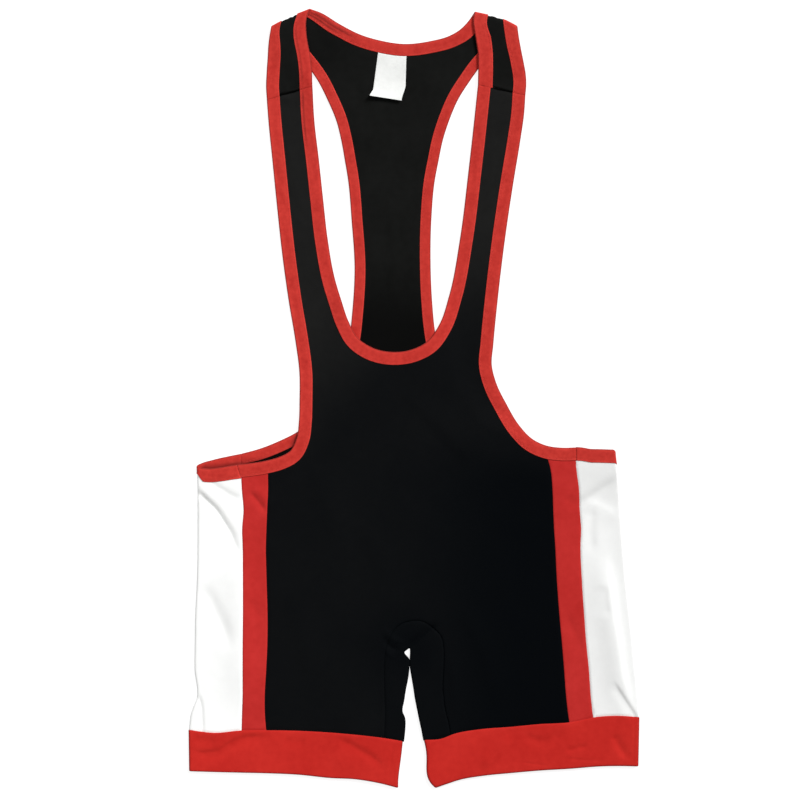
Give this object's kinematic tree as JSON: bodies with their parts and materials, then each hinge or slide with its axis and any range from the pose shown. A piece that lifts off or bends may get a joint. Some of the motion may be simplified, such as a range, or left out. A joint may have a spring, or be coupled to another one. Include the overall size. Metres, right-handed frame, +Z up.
{
  "type": "wrestling singlet",
  "caption": "Wrestling singlet laid flat, face up, with a T back, bound straps and armholes, striped sides, a gusset and banded short legs.",
  "frame": {"origin": "centre of the bounding box, on the surface that the garment lies on", "axes": "+Y from the legs to the shoulders, +X to the right as it is seen from above, +Z up off the surface"},
  "size_m": [0.4512, 0.7787, 0.0054],
  "materials": {
    "black_knit": "smooth black stretch knit",
    "red_knit": "smooth red stretch knit",
    "red_elastic": "folded red elastic",
    "white_knit": "smooth white stretch knit",
    "label_satin": "white woven label"
  },
  "bodies": {
    "root": {"front_panel": "black_knit", "back_panel": "black_knit", "gusset": "black_knit", "side_panel_left": "white_knit", "side_panel_right": "white_knit", "stripe_left": "red_knit", "stripe_right": "red_knit", "hem_band_left": "red_knit", "hem_band_right": "red_knit", "neck_binding_front": "red_elastic", "neck_binding_back": "red_elastic", "arm_binding_front_left": "red_elastic", "arm_binding_front_right": "red_elastic", "arm_binding_back_left": "red_elastic", "arm_binding_back_right": "red_elastic", "side_binding_left": "red_elastic", "side_binding_right": "red_elastic", "care_label": "label_satin"}
  },
  "joints": []
}
